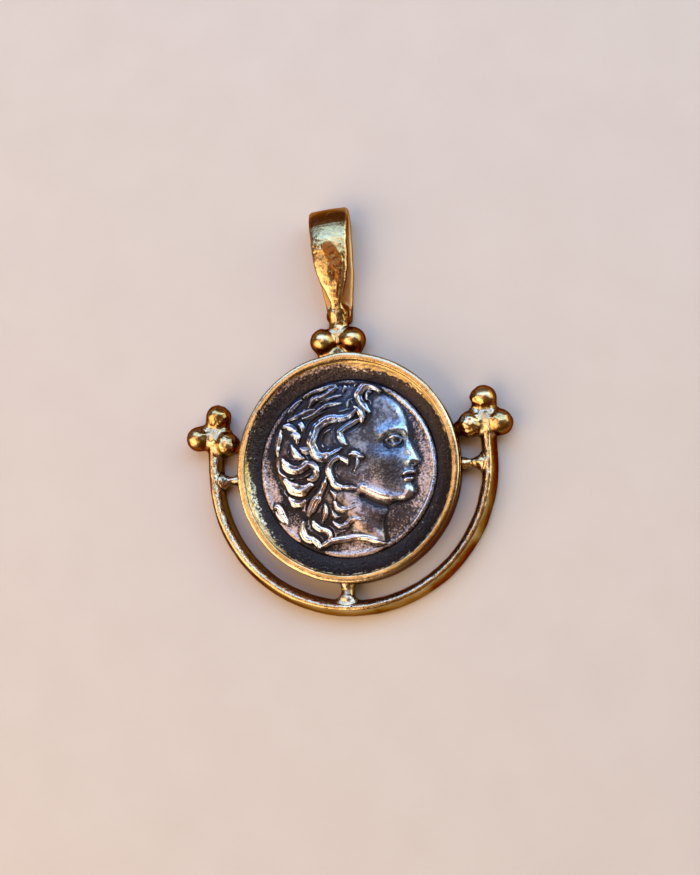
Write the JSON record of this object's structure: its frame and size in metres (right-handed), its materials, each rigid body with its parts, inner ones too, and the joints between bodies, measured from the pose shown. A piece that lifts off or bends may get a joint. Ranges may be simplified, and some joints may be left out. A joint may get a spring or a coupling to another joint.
{
  "type": "coin pendant",
  "caption": "Round cup pendant with a struck profile-head coin, a peaked arc with granule clusters at its ends, and a leaf-shaped bail for a chain.",
  "frame": {"origin": "middle of the cup's flat back, with the pendant lying on its back", "axes": "+Z out of the coin's face, +Y towards the bail, +X to the right as the coin is looked at"},
  "size_m": [0.0329, 0.0411, 0.0037],
  "materials": {
    "gold_plate": "polished gold plate with fine file marks, oxidised inside the cup's ring",
    "oxidised_silver": "blackened silver with the high relief rubbed bright"
  },
  "bodies": {
    "root": {"frame": "gold_plate", "coin": "oxidised_silver"}
  },
  "joints": []
}
